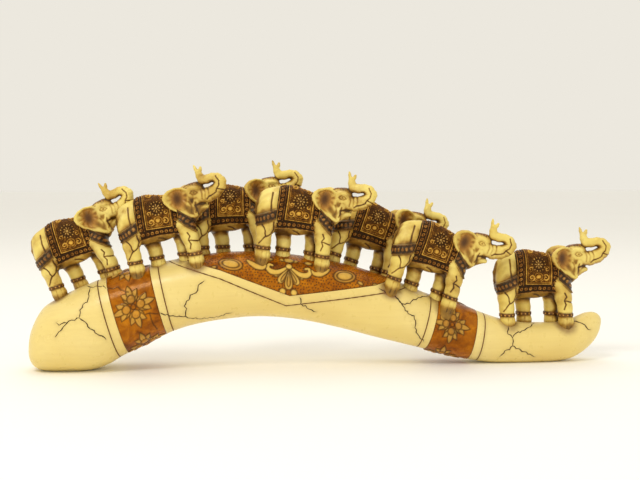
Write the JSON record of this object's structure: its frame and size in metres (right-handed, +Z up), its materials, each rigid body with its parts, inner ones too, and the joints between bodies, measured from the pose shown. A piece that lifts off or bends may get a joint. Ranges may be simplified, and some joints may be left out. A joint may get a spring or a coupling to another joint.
{
  "type": "elephant procession figurine",
  "caption": "Free-standing display figurine: painted resin elephants in saddle cloths walk in file over an arched imitation-ivory tusk.",
  "frame": {"origin": "middle of the bounding box at its bottom, on the surface the tusk lies on", "axes": "+X along the tusk from its blunt root to its tip, the way the elephants walk; +Y from the side seen first to the back; +Z up"},
  "size_m": [0.3862, 0.052, 0.1353],
  "materials": {
    "ivory_resin": "satin",
    "aged_ivory_resin": "satin",
    "amber_glaze": "gloss",
    "cloth_paint": "satin",
    "steel_pin": "satin"
  },
  "bodies": {
    "root": {"tusk": "ivory_resin", "elephant_1": "aged_ivory_resin", "elephant_2": "aged_ivory_resin", "elephant_3": "aged_ivory_resin", "elephant_4": "aged_ivory_resin", "elephant_5": "aged_ivory_resin", "elephant_6": "aged_ivory_resin", "elephant_7": "aged_ivory_resin", "elephant_1_pin_front": "steel_pin", "elephant_1_pin_rear": "steel_pin", "elephant_2_pin_front": "steel_pin", "elephant_2_pin_rear": "steel_pin", "elephant_3_pin_front": "steel_pin", "elephant_3_pin_rear": "steel_pin", "elephant_4_pin_front": "steel_pin", "elephant_4_pin_rear": "steel_pin", "elephant_5_pin_front": "steel_pin", "elephant_5_pin_rear": "steel_pin", "elephant_6_pin_front": "steel_pin", "elephant_6_pin_rear": "steel_pin", "elephant_7_pin_front": "steel_pin", "elephant_7_pin_rear": "steel_pin"}
  },
  "joints": []
}
